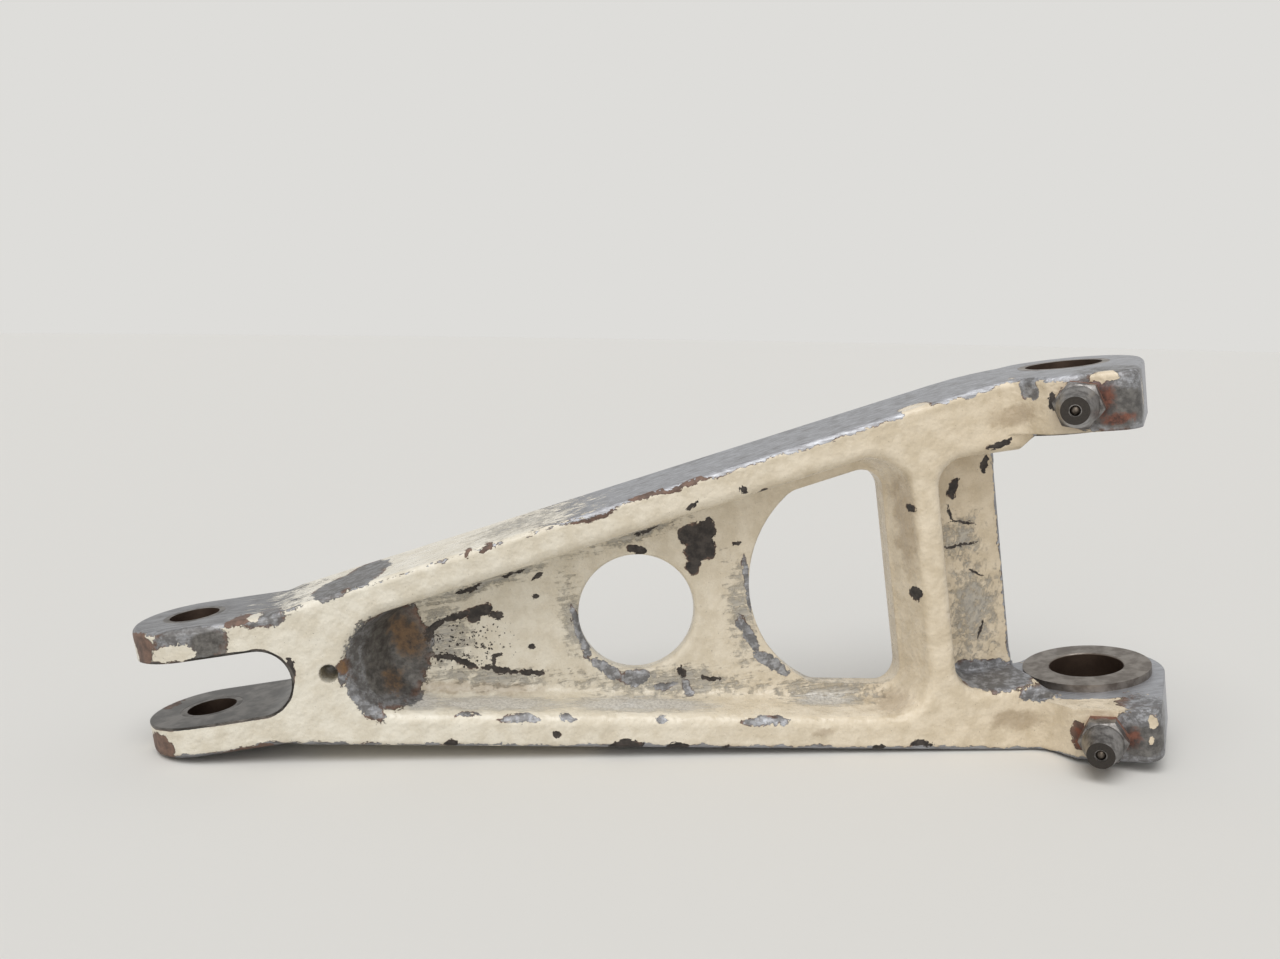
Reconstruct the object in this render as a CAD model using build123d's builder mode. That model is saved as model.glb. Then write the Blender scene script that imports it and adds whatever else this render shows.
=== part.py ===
from build123d import *
from math import asin, atan, atan2, cos, hypot, radians, sin, sqrt, tan
import os

# Landing gear torque knee: an A-shaped forging with a clevis at its narrow end, two bored lugs
# at its wide end, pressed bushings in all four bores and a grease fitting in each lug.
#
# Lengths are millimetres. The knee is drawn in its own directions: u runs along its centre-line
# from the clevis pin to the hinge pin, v runs along the pins, and w runs out of its front face.
# It rests on its lower leg's edge, so u is tilted from the row's +X by the resting tilt.
# The row's origin is the middle of the hinge pin's axis.

# Overall forging
pin_spacing = 192.0
section_depth = 25.0
edge_radius = 1.4

# Clevis at the narrow end
slot_width = 13.7
ear_thickness = 6.7
slot_reach = 20.5
ear_flat_length = 17.5
step_radius = 4.0
leg_start_u = 20.5
leg_start_half = 14.4
cross_hole_diameter = 3.9
cross_hole_u = 28.0

# Legs, web, window and post
leg_width = 7.0
web_thickness = 4.0
web_setback = 1.5
wall_draft = 1.2
pocket_start_u = 30.9
bowl_slope = 8.5
pocket_floor_radius = 2.6
hole_diameter = 25.4
hole_u = 92.6
window_start_u = 117.5
window_margin = 4.2
window_bulge = 0.25
window_corner_radius = 4.5
window_shoulder_radius = 6.0
post_window_u = 149.0
post_left_u = 153.0
post_right_u = 158.2
rim_radius = 2.2
rim_wall_share = 0.8
pocket_corner_radius = 9.0
web_edge_u = 174.3
flange_pocket_half = 25.7
flange_corner_radius = 6.0
hole_rim_radius = 1.1

# Lugs at the wide end
lug_inner = 29.1
lug_outer = 40.9
lug_root_radius = 9.0
leg_end_radius = 120.0
boss_radius = 16.3
spot_face_radius = 17.5
facet_distance = 23.3
facet_angle = 30.0
facet_corner_radius = 4.0
facet_left = 1.0
flare_start = 16.0
flare_radius = 5.0
boss_root_radius = 4.0

# Bushings
hinge_bore_diameter = 15.875
hinge_bushing_wall = 1.6
hinge_flange_radius = 13.75
hinge_flange_thickness = 1.65
apex_bore_diameter = 10.06
apex_bushing_wall = 1.25
bushing_chamfer = 0.3

# Grease fittings
fitting_offset = 5.1
hex_across_flats = 8.73
hex_thickness = 4.2
hex_turn_upper = -12.0
hex_turn_lower = 0.0
crown_slope = 0.7
shoulder_radius = 4.15
shoulder_height = 5.0
nose_radius = 2.75
nose_height = 10.4
shank_radius = 3.1
shank_length = 6.0
fitting_hole_radius = 0.8
mouth_radius = 1.05
mouth_land = 0.5
mouth_recess_radius = 1.25
mouth_recess_depth = 0.35
grease_hole_radius = 1.25

# Check balls and springs
ball_radius = 1.19
ball_seat_clearance = 0.02
ball_wall_clearance = 0.09
spring_wire_radius = 0.15
spring_turns = 5
spring_wall_clearance = 0.1
spring_end_clearance = 0.02
spring_length = 4.0

# Overcut of the tools, and how near an edge has to be to count as found
overcut = 2.0
search_margin = 0.5
tolerance = 0.001

# Derived sizes
half_depth = section_depth / 2
ear_radius = half_depth
slot_half = slot_width / 2
ear_outer = slot_half + ear_thickness
leg_end_u = pin_spacing - boss_radius
leg_slope = (lug_outer - leg_start_half) / (leg_end_u - leg_start_u)
leg_bend_centre_u = leg_end_u + leg_end_radius * tan(atan(leg_slope) / 2)
rest_reach = leg_bend_centre_u + ear_radius - edge_radius
rest_rise = leg_end_radius - lug_outer + ear_outer
rest_tilt = asin(leg_end_radius / hypot(rest_reach, rest_rise)) - atan2(rest_rise, rest_reach)
web_front = web_thickness / 2 - web_setback
web_back = -web_thickness / 2 - web_setback
hinge_bushing_radius = hinge_bore_diameter / 2 + hinge_bushing_wall
apex_bushing_radius = apex_bore_diameter / 2 + apex_bushing_wall
lug_middle = (lug_inner + lug_outer) / 2
chamber_radius = ball_radius + ball_wall_clearance
mouth_bottom = nose_height - mouth_recess_depth - mouth_land
ball_height = mouth_bottom - ball_seat_clearance - sqrt(ball_radius**2 - mouth_radius**2)
spring_coil_radius = chamber_radius - spring_wall_clearance - spring_wire_radius
spring_drop = sqrt((ball_radius + spring_wire_radius + spring_end_clearance) ** 2 - spring_coil_radius**2)
spring_seat_height = ball_height - spring_drop - spring_length - spring_wire_radius - spring_end_clearance

along = Vector(cos(rest_tilt), 0, sin(rest_tilt))
front = Vector(0, -1, 0)
knee = Plane(origin=along * -pin_spacing, x_dir=along, z_dir=front)
pin_direction = knee.y_dir
knee_along = Axis((0, 0, 0), along)
fitting_along = Vector(-sin(radians(facet_angle)), -cos(radians(facet_angle)))
fitting_side = Vector(cos(radians(facet_angle)), -sin(radians(facet_angle)))
pin_in_plan = Vector(pin_spacing, 0)


def across(v):
    """Plane across the pins at height v, with u along its x and depth away from the front along its y."""
    return Plane(origin=knee.from_local_coords((0, v, 0)), x_dir=along, z_dir=pin_direction)


def outer_edge(u):
    """Half height of the leg's outer edge at u."""
    return leg_start_half + leg_slope * (u - leg_start_u)


def inner_edge(u):
    """Half height of the leg's inner edge, at the rim of the pocket."""
    return outer_edge(u) - leg_width


def end_circle(start_u, inset):
    """Centre and radius of the circle that starts at start_u and touches both inner edges less the inset."""
    slant = sqrt(1 + leg_slope**2)
    radius = ((inner_edge(start_u) - inset) / slant) / (1 - leg_slope / slant)
    return start_u + radius, radius


def pocket_outline(level, start_u, end_u, inset, corner):
    """Outline of the pocket between the legs: a round left end, sloping sides and two corners."""
    centre, radius = end_circle(start_u, inset)
    slant = sqrt(1 + leg_slope**2)
    touch_u = centre - radius * leg_slope / slant
    touch_v = radius / slant
    end_v = inner_edge(end_u) - inset
    with BuildSketch(knee.offset(level)) as outline:
        with BuildLine():
            ThreePointArc((touch_u, -touch_v), (start_u, 0), (touch_u, touch_v))
            Polyline((touch_u, touch_v), (end_u, end_v), (end_u, -end_v), (touch_u, -touch_v))
        make_face()
        fillet(outline.vertices().group_by(knee_along)[-1], corner)
    return outline.sketch


def flange_outline(level, inset, corner):
    """Outline of the pocket right of the post, which is open at its right side."""
    half = flange_pocket_half - inset
    left = post_right_u + inset
    with BuildSketch(knee.offset(level)) as outline:
        with BuildLine():
            Polyline((left, -half), (left, half), (pin_spacing, half), (pin_spacing, -half), close=True)
        make_face()
        fillet(outline.vertices().group_by(knee_along)[0], corner)
    return outline.sketch


def flange_pocket(rim, floor, outward):
    """Tool that cuts the pocket right of the post, with the rounding of its rim."""
    overhang = lug_inner - flange_pocket_half
    with BuildPart() as tool:
        rim_outline = flange_outline(rim, 0, flange_corner_radius)
        floor_outline = flange_outline(floor, wall_draft, flange_corner_radius)
        loft([rim_outline, floor_outline])
        overhang_outline = flange_outline(rim, -overhang, flange_corner_radius + overhang)
        extrude(overhang_outline, amount=outward * facet_distance)
        inside = []
        for edge in tool.edges():
            middle = knee.to_local_coords(edge.position_at(0.5))
            on_rim = abs(middle.Z - rim) < tolerance and abs(middle.Y) < flange_pocket_half + tolerance
            if on_rim and post_right_u - tolerance < middle.X < pin_spacing - tolerance:
                inside.append(edge)
        fillet(inside, min(rim_radius, rim_wall_share * overhang))
    return tool


def lies_on_a_face(edge):
    """Whether an edge lies in the front or the back face of the legs."""
    depths = [abs(knee.to_local_coords(edge.position_at(place)).Z) for place in (0, 0.5, 1)]
    return all(abs(depth - half_depth) < tolerance for depth in depths)


def corners_at(sketch, u):
    """Corners of a sketch of the front view that lie at u."""
    return [corner for corner in sketch.vertices() if abs(corner.X - u) < tolerance]


def plan_point(reach, side):
    """Point of the plan at a reach from the hinge pin along the fitting, and a distance to its side."""
    return pin_in_plan + fitting_along * reach + fitting_side * side


# Tools that cut the four pockets: front and back, left and right of the post
floor_start = pocket_start_u + bowl_slope
floor_corner = pocket_corner_radius - wall_draft

with BuildPart() as pocket_front:
    loft(
        [
            pocket_outline(half_depth, pocket_start_u, post_left_u, 0, pocket_corner_radius),
            pocket_outline(web_front, floor_start, post_window_u, wall_draft, floor_corner),
        ]
    )
    fillet(pocket_front.faces().sort_by(Axis((0, 0, 0), front))[0].edges(), pocket_floor_radius)

with BuildPart() as pocket_back:
    loft(
        [
            pocket_outline(-half_depth, pocket_start_u, post_left_u, 0, pocket_corner_radius),
            pocket_outline(web_back, floor_start, post_window_u, wall_draft, floor_corner),
        ]
    )
    fillet(pocket_back.faces().sort_by(Axis((0, 0, 0), front))[-1].edges(), pocket_floor_radius)

flange_pocket_front = flange_pocket(half_depth, web_front, 1)
flange_pocket_back = flange_pocket(-half_depth, web_back, -1)


# Seats of the grease fittings, with z out of the facet and y up along the pins
seat_in_plan = plan_point(facet_distance, fitting_offset)
fitting_out = along * fitting_along.X - front * fitting_along.Y


def fitting_seat(height):
    """Plane of a fitting's seat on the facet of the lug at a height along the pins."""
    origin = knee.from_local_coords((seat_in_plan.X, height, -seat_in_plan.Y))
    return Plane(origin, x_dir=pin_direction.cross(fitting_out), z_dir=fitting_out)


upper_seat = fitting_seat(lug_middle)
lower_seat = fitting_seat(-lug_middle)

# Plan of the forging seen along the pins: the ears' round ends, the legs, the boss and the
# extension that carries the grease fitting
facet_right = plan_point(facet_distance, boss_radius)
facet_left_end = plan_point(facet_distance, -facet_left)
flare_foot = Vector(pin_spacing - flare_start, -half_depth)

with BuildSketch(across(-lug_outer - overcut)) as plan:
    with BuildLine():
        Polyline(
            (pin_spacing - flare_start * 2, 0),
            (pin_spacing - flare_start * 2, -half_depth),
            flare_foot,
            facet_left_end,
            facet_right,
            plan_point(0, boss_radius),
            pin_in_plan,
            close=True,
        )
    make_face()
    fillet(plan.vertices().sort_by_distance(facet_right)[0], facet_corner_radius)
    fillet(plan.vertices().sort_by_distance(flare_foot)[0], flare_radius)
    Circle(ear_radius)
    with Locations((pin_spacing / 2, 0)):
        Rectangle(pin_spacing, section_depth)
    with Locations(pin_in_plan):
        Circle(boss_radius)
    boss_root = Vector(pin_spacing - sqrt(boss_radius**2 - half_depth**2), half_depth)
    fillet(plan.vertices().sort_by_distance(boss_root)[0], boss_root_radius)

# Window through the web: its sides follow the legs and its left side is an arc that passes just
# outside its two right corners
window_start_half = inner_edge(window_start_u) - window_margin
window_end_half = inner_edge(post_window_u) - window_margin
window_length = post_window_u - window_start_u
window_left_radius = (window_length**2 + (window_end_half + window_bulge) ** 2) / (2 * window_length)

with BuildSketch(knee) as window:
    with BuildLine():
        Polyline(
            (window_start_u, window_start_half),
            (post_window_u, window_end_half),
            (post_window_u, -window_end_half),
            (window_start_u, -window_start_half),
            close=True,
        )
    make_face()
    with Locations((window_start_u + window_left_radius, 0)):
        Circle(window_left_radius, mode=Mode.INTERSECT)
    fillet(window.vertices().group_by(Axis.X)[0], window_shoulder_radius)
    fillet(window.vertices().group_by(Axis.X)[-1], window_corner_radius)

with BuildPart() as knee_forging:
    # Outline seen from the front, cut to the plan
    with BuildSketch(knee) as outline:
        upper = [
            (-ear_radius - overcut, ear_outer),
            (ear_flat_length, ear_outer),
            (leg_start_u, leg_start_half),
            (leg_end_u, lug_outer),
            (pin_spacing + boss_radius + overcut, lug_outer),
            (pin_spacing + boss_radius + overcut, lug_inner),
            (web_edge_u, lug_inner),
        ]
        lower = [(u, -v) for u, v in reversed(upper)]
        with BuildLine():
            Polyline(*upper, *lower, close=True)
        make_face()
        fillet(corners_at(outline, web_edge_u), lug_root_radius)
        fillet(corners_at(outline, ear_flat_length), step_radius)
        fillet(corners_at(outline, leg_start_u), step_radius)
        fillet(corners_at(outline, leg_end_u), leg_end_radius)
    extrude(amount=2 * facet_distance, both=True)
    extrude(plan.sketch, amount=2 * (lug_outer + overcut), mode=Mode.INTERSECT)
    rims = []
    for edge in knee_forging.edges():
        middle = knee.to_local_coords(edge.position_at(0.5))
        is_outer = abs(middle.Y) > min(outer_edge(middle.X), lug_outer) - search_margin
        is_across = edge.geom_type == GeomType.LINE and abs(edge.tangent_at(0).Y) > 1 - tolerance
        if is_outer and not is_across:
            rims.append(edge)
    fillet(rims, edge_radius)
    # Faces machined between the lugs
    with BuildSketch(across(-lug_inner)):
        with Locations(pin_in_plan):
            Circle(spot_face_radius)
    extrude(amount=2 * lug_inner, mode=Mode.SUBTRACT)
    # Clevis slot with a round end
    with BuildSketch(knee):
        with Locations((slot_reach - slot_half, 0)):
            Circle(slot_half)
        with Locations(((slot_reach - slot_half - ear_radius - overcut) / 2, 0)):
            Rectangle(slot_reach - slot_half + ear_radius + overcut, slot_width)
    extrude(amount=section_depth, both=True, mode=Mode.SUBTRACT)
    add(pocket_front.part, mode=Mode.SUBTRACT)
    add(pocket_back.part, mode=Mode.SUBTRACT)
    rims = []
    for edge in knee_forging.edges():
        middle = knee.to_local_coords(edge.position_at(0.5))
        is_inner = abs(middle.Y) < inner_edge(middle.X) + search_margin
        is_left = pocket_start_u - search_margin < middle.X < post_left_u + search_margin
        if lies_on_a_face(edge) and is_inner and is_left:
            rims.append(edge)
    fillet(rims, rim_radius)
    add(flange_pocket_front.part, mode=Mode.SUBTRACT)
    add(flange_pocket_back.part, mode=Mode.SUBTRACT)
    # Round hole with rounded rims, then the window and the cross hole
    before = knee_forging.edges()
    with BuildSketch(knee):
        with Locations((hole_u, 0)):
            Circle(hole_diameter / 2)
    extrude(amount=section_depth, both=True, mode=Mode.SUBTRACT)
    hole_rims = knee_forging.edges().filter_by(GeomType.CIRCLE) - before
    fillet(hole_rims.filter_by(lambda rim: abs(rim.radius - hole_diameter / 2) < tolerance), hole_rim_radius)
    with BuildSketch(knee):
        with Locations((cross_hole_u, 0)):
            Circle(cross_hole_diameter / 2)
    extrude(amount=section_depth, both=True, mode=Mode.SUBTRACT)
    extrude(window.sketch, amount=section_depth, both=True, mode=Mode.SUBTRACT)
    # Bores for the bushings
    with BuildSketch(across(-lug_outer - overcut)):
        with Locations(pin_in_plan):
            Circle(hinge_bushing_radius)
        Circle(apex_bushing_radius)
    extrude(amount=2 * (lug_outer + overcut), mode=Mode.SUBTRACT)
    # Threaded holes and grease passages, drawn plain
    for seat in (upper_seat, lower_seat):
        with BuildSketch(seat):
            Circle(shank_radius)
        extrude(amount=-shank_length, mode=Mode.SUBTRACT)
        with BuildSketch(seat):
            Circle(grease_hole_radius)
        extrude(amount=-facet_distance, mode=Mode.SUBTRACT)

knee_forging.part.label = "knee_forging"


def hinge_bushing(side, seat):
    """Flanged bushing of one lug; side is 1 for the upper lug and -1 for the lower one."""
    flange_face = lug_inner - hinge_flange_thickness
    with BuildPart() as bushing:
        with BuildSketch(across(side * lug_inner)):
            with Locations(pin_in_plan):
                Circle(hinge_bushing_radius)
        extrude(amount=side * (lug_outer - lug_inner))
        with BuildSketch(across(side * flange_face)):
            with Locations(pin_in_plan):
                Circle(hinge_flange_radius)
        extrude(amount=side * hinge_flange_thickness)
        with BuildSketch(across(side * flange_face)):
            with Locations(pin_in_plan):
                Circle(hinge_bore_diameter / 2)
        extrude(amount=side * (lug_outer - flange_face), mode=Mode.SUBTRACT)
        circles = bushing.edges().filter_by(GeomType.CIRCLE)
        flange_rims = circles.group_by(Axis((0, 0, 0), pin_direction * side))[0]
        chamfer(flange_rims.sort_by(SortBy.RADIUS)[0], bushing_chamfer)
        with BuildSketch(seat):
            Circle(grease_hole_radius)
        extrude(amount=-facet_distance, mode=Mode.SUBTRACT)
    return bushing


def ear_bushing(side):
    """Plain bushing of one ear, flush with both of its faces."""
    with BuildPart() as bushing:
        with BuildSketch(across(side * slot_half)):
            Circle(apex_bushing_radius)
            Circle(apex_bore_diameter / 2, mode=Mode.SUBTRACT)
        extrude(amount=side * ear_thickness)
    return bushing


def fitting_body(seat, hex_turn):
    """Body of a grease fitting: plain shank, hexagon, tapered nose and the chamber of its check ball."""
    section = Plane(seat.origin, x_dir=seat.x_dir, z_dir=-seat.y_dir)
    axis = Axis(seat.origin, seat.z_dir)
    corner_radius = hex_across_flats / sqrt(3) + overcut
    with BuildPart() as body:
        with BuildSketch(seat):
            RegularPolygon(hex_across_flats / 2, 6, major_radius=False, rotation=hex_turn)
        extrude(amount=hex_thickness)
        with BuildSketch(section):
            with BuildLine():
                Polyline(
                    (0, 0),
                    (corner_radius, 0),
                    (corner_radius, hex_thickness - crown_slope * (corner_radius - shoulder_radius)),
                    (shoulder_radius, hex_thickness),
                    (0, hex_thickness),
                    close=True,
                )
            make_face()
        revolve(axis=axis, mode=Mode.INTERSECT)
        with BuildSketch(section):
            with BuildLine():
                Polyline(
                    (0, -shank_length),
                    (shank_radius, -shank_length),
                    (shank_radius, 0),
                    (shoulder_radius, 0),
                    (shoulder_radius, shoulder_height),
                    (nose_radius, nose_height),
                    (0, nose_height),
                    close=True,
                )
            make_face()
        revolve(axis=axis)
        with BuildSketch(section):
            with BuildLine():
                Polyline(
                    (0, -shank_length),
                    (fitting_hole_radius, -shank_length),
                    (fitting_hole_radius, spring_seat_height),
                    (chamber_radius, spring_seat_height),
                    (chamber_radius, mouth_bottom),
                    (mouth_radius, mouth_bottom),
                    (mouth_radius, nose_height - mouth_recess_depth),
                    (mouth_recess_radius, nose_height - mouth_recess_depth),
                    (mouth_recess_radius, nose_height),
                    (0, nose_height),
                    close=True,
                )
            make_face()
        revolve(axis=axis, mode=Mode.SUBTRACT)
    return body


def check_ball(seat):
    """Ball that closes a fitting's mouth."""
    with BuildPart() as ball:
        with Locations(seat.offset(ball_height).origin):
            Sphere(ball_radius)
    return ball


def check_spring(seat):
    """Coil spring between the ball and the ledge of the chamber."""
    start = seat.offset(ball_height - spring_drop - spring_length).origin
    with BuildPart() as spring:
        with BuildLine() as coil:
            Helix(
                pitch=spring_length / spring_turns,
                height=spring_length,
                radius=spring_coil_radius,
                center=start,
                direction=seat.z_dir,
            )
        with BuildSketch(Plane(coil.line @ 0, z_dir=coil.line % 0)):
            Circle(spring_wire_radius)
        sweep(is_frenet=True)
    return spring


hinge_bushing_upper = hinge_bushing(1, upper_seat)
hinge_bushing_lower = hinge_bushing(-1, lower_seat)
ear_bushing_upper = ear_bushing(1)
ear_bushing_lower = ear_bushing(-1)
fitting_body_upper = fitting_body(upper_seat, hex_turn_upper)
fitting_body_lower = fitting_body(lower_seat, hex_turn_lower)
check_ball_upper = check_ball(upper_seat)
check_ball_lower = check_ball(lower_seat)
check_spring_upper = check_spring(upper_seat)
check_spring_lower = check_spring(lower_seat)

hinge_bushing_upper.part.label = "hinge_bushing_upper"
hinge_bushing_lower.part.label = "hinge_bushing_lower"
ear_bushing_upper.part.label = "ear_bushing_upper"
ear_bushing_lower.part.label = "ear_bushing_lower"
fitting_body_upper.part.label = "fitting_body_upper"
fitting_body_lower.part.label = "fitting_body_lower"
check_ball_upper.part.label = "check_ball_upper"
check_ball_lower.part.label = "check_ball_lower"
check_spring_upper.part.label = "check_spring_upper"
check_spring_lower.part.label = "check_spring_lower"

os.makedirs("parts", exist_ok=True)
export_step(knee_forging.part, "parts/knee_forging.step")
export_step(hinge_bushing_upper.part, "parts/hinge_bushing_upper.step")
export_step(hinge_bushing_lower.part, "parts/hinge_bushing_lower.step")
export_step(ear_bushing_upper.part, "parts/ear_bushing_upper.step")
export_step(ear_bushing_lower.part, "parts/ear_bushing_lower.step")
export_step(fitting_body_upper.part, "parts/fitting_body_upper.step")
export_step(fitting_body_lower.part, "parts/fitting_body_lower.step")
export_step(check_ball_upper.part, "parts/check_ball_upper.step")
export_step(check_ball_lower.part, "parts/check_ball_lower.step")
export_step(check_spring_upper.part, "parts/check_spring_upper.step")
export_step(check_spring_lower.part, "parts/check_spring_lower.step")
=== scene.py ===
# %% [markdown]
# # A forged torque knee, dressed for its portrait
# The real object is an A-shaped steel forging from a landing gear. It was painted cream over a
# maroon primer, and years of service took the paint off its edges and machined faces.
# The shapes come ready made, as one mesh for each real piece, so this lesson is about finishes.
# Each finish is built from nodes, at the real scale, and every mark lies at a place in millimetres.

# %% Load the shapes
from math import asin, atan, atan2, cos, degrees, hypot, pi, radians, sin, tan

import bpy
from mathutils import Matrix, Vector


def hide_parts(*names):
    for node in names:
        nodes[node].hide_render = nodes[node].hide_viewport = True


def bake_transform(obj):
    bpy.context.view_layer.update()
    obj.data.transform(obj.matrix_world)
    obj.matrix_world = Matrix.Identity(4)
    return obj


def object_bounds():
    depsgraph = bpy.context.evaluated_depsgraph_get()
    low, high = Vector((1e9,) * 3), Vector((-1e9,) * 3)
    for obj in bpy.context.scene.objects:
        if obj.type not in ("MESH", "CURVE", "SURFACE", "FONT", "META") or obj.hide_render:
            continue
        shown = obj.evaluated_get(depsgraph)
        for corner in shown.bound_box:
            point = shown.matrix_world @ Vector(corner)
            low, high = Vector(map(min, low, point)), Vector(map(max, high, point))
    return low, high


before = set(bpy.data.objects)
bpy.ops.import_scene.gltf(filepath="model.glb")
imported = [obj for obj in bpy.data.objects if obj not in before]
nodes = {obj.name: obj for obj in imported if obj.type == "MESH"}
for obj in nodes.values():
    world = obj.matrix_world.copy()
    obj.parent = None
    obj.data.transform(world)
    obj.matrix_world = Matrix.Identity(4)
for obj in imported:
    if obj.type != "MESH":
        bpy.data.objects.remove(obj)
cad_low, cad_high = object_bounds()
print("pieces:", sorted(nodes))
print("size in mm:", [round(side * 1000, 1) for side in cad_high - cad_low])

# %% [markdown]
# ## The knee's own directions
# The knee lies on the side of its lower leg, so it is tilted by a few degrees in the scene.
# Marks are much easier to place in its own directions: u runs along its centre-line from the
# clevis pin, v runs along the pins, and w comes out of its front face. The tilt follows from the
# two places that touch the floor: an ear's edge, and the bend between the lower leg and its lug.

# %% Sizes and resting tilt, in millimetres
PIN_SPACING = 192.0
LEG_START_U, LEG_START_HALF = 20.5, 14.4
LUG_INNER, LUG_OUTER = 29.1, 40.9
EAR_OUTER = 13.55
HALF_DEPTH = 12.5
BOSS_RADIUS = 16.3
HINGE_BORE_RADIUS, APEX_BORE_RADIUS = 7.94, 5.03
LEG_SLOPE = (LUG_OUTER - LEG_START_HALF) / (PIN_SPACING - BOSS_RADIUS - LEG_START_U)
LEG_END_RADIUS = 120.0
EAR_EDGE_RADIUS = 1.4

bend_centre_u = PIN_SPACING - BOSS_RADIUS + LEG_END_RADIUS * tan(atan(LEG_SLOPE) / 2)
rest_reach = bend_centre_u + HALF_DEPTH - EAR_EDGE_RADIUS
rest_rise = LEG_END_RADIUS - LUG_OUTER + EAR_OUTER
rest_tilt = asin(LEG_END_RADIUS / hypot(rest_reach, rest_rise)) - atan2(rest_rise, rest_reach)
print("resting tilt in degrees:", round(degrees(rest_tilt), 2))

# %% [markdown]
# ## Between the knee and the scene
# Two small functions turn the knee's directions and millimetres into scene metres. A third makes
# the settings of a Mapping node that goes the other way, so that a material can think in
# millimetres too.

# %% Directions of the knee
along = Vector((cos(rest_tilt), 0, sin(rest_tilt)))
pins = Vector((-sin(rest_tilt), 0, cos(rest_tilt)))
out = Vector((0, -1, 0))


def direction(u, v, w):
    """Scene direction of a direction of the knee."""
    return along * u + pins * v + out * w


def place(u, v, w):
    """Scene point, in metres, of a point of the knee in millimetres."""
    return direction(u - PIN_SPACING, v, w) / 1000


def measured_from(origin, x_axis, y_axis, z_axis):
    """Settings of a Mapping node that measures millimetres from a point, along three directions."""
    turn = Matrix((x_axis, y_axis, z_axis))
    return {
        "Scale": (1000, 1000, 1000),
        "Rotation": turn.to_euler("XYZ"),
        "Location": -(turn @ origin) * 1000,
    }


knee_frame = measured_from(place(0, 0, 0), along, pins, out)
print("clevis pin at", [round(c, 4) for c in place(0, 0, 0)])

# %% [markdown]
# ## Colours and nodes
# Colours are written as sRGB hex values, as a picture editor gives them, and Blender works in
# linear light, so one function converts them. One more adds a node to a tree, sets its properties
# and fills its inputs, each with a value or with what another node gives. Every finish below is
# made with these two.


# %% Colours and nodes
def linear(hex_colour):
    """Linear colour of an sRGB hex colour."""
    parts = [int(hex_colour[i : i + 2], 16) / 255 for i in (1, 3, 5)]
    return [p / 12.92 if p <= 0.04045 else ((p + 0.055) / 1.055) ** 2.4 for p in parts] + [1.0]


def add(tree, kind, inputs=(), **settings):
    """Adds a node with its settings, and gives its inputs, by name or in order, values or links."""
    made = tree.nodes.new("ShaderNode" + kind)
    for name, value in settings.items():
        setattr(made, name, value)
    named = inputs if isinstance(inputs, dict) else dict(enumerate(inputs))
    for name, value in named.items():
        if isinstance(value, bpy.types.Node):
            value = next(socket for socket in value.outputs if socket.enabled)
        if isinstance(value, bpy.types.NodeSocket):
            tree.links.new(value, made.inputs[name])
        else:
            made.inputs[name].default_value = value
    return made


def new_tree(name):
    """New material with an empty node tree."""
    material = bpy.data.materials.new(name)
    material.use_nodes = True
    material.node_tree.nodes.clear()
    return material, material.node_tree


print("middle grey #808080 in linear light:", round(linear("#808080")[0], 3))

# %% [markdown]
# ## Floor
# A studio floor has nothing to say, it only takes the shadow. Smooth cast plaster does that: it is
# matt and pale, with a faint grain of 2.5 mm. A round sheet is enough, wide enough to reach past
# the camera's view, and it lies just where the knee's lowest edge touches.

# %% Floor
FLOOR_RADIUS, FLOOR_CORNERS = 4.0, 96
FLOOR_GRAIN = 0.0025

plaster, tree = new_tree("pale_floor_plaster")
spot = add(tree, "TexCoord")
grain = add(tree, "TexNoise", {"Vector": spot.outputs["Object"], "Scale": 1 / FLOOR_GRAIN, "Detail": 3.0})
raised = add(tree, "Bump", {"Height": grain, "Strength": 0.05, "Distance": 0.0005})
shader = {"Base Color": linear("#D9D7D2"), "Roughness": 0.8, "Normal": raised}
add(tree, "OutputMaterial", {"Surface": add(tree, "BsdfPrincipled", shader)})

turns = [2 * pi * corner / FLOOR_CORNERS for corner in range(FLOOR_CORNERS)]
rim = [(FLOOR_RADIUS * cos(turn), FLOOR_RADIUS * sin(turn), 0) for turn in turns]
mesh = bpy.data.meshes.new("floor")
mesh.from_pydata(rim, [], [list(range(FLOOR_CORNERS))])
mesh.materials.append(plaster)
floor = bpy.data.objects.new("floor", mesh)
bpy.context.scene.collection.objects.link(floor)
middle = (cad_low + cad_high) / 2
floor.location = (middle.x, middle.y, cad_low.z)
print("floor height in mm:", round(floor.location.z * 1000, 2))

# %% [markdown]
# ## The room
# A pale room is all round the object. The camera sees it as a plain warm backdrop, and so does
# metal, which would otherwise mirror a dark room. The light that it gives the object is cooler and
# half as strong, so that shadows keep their depth. The Light Path node tells the rays apart.

# %% Room
world = bpy.data.worlds.new("pale_room")
bpy.context.scene.world = world
world.use_nodes = True
world.node_tree.nodes.clear()
rays = add(world.node_tree, "LightPath").outputs
seen = (rays["Is Camera Ray"], rays["Is Transmission Ray"])
seen = add(world.node_tree, "Math", seen, operation="MAXIMUM")
seen = add(world.node_tree, "Math", (seen, rays["Is Glossy Ray"]), operation="MAXIMUM")
room = add(world.node_tree, "Background", {"Color": linear("#E8EAEE"), "Strength": 0.5})
backdrop = add(world.node_tree, "Background", {"Color": linear("#DEDDDA"), "Strength": 1.0})
choice = add(world.node_tree, "MixShader", (seen, room, backdrop))
add(world.node_tree, "OutputWorld", {"Surface": choice})
print(world.name, "has", len(world.node_tree.nodes), "nodes")

# %% [markdown]
# ## Lamps
# The knee was lit from overhead and a little from the left. A broad lamp above gives the bright
# top edges, and a weak, warm one beside the camera opens the shadows in the pockets. A sun lamp
# with a wide angle is the simplest soft light: it is equally bright everywhere, and its shadows
# have blurred rims.


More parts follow.
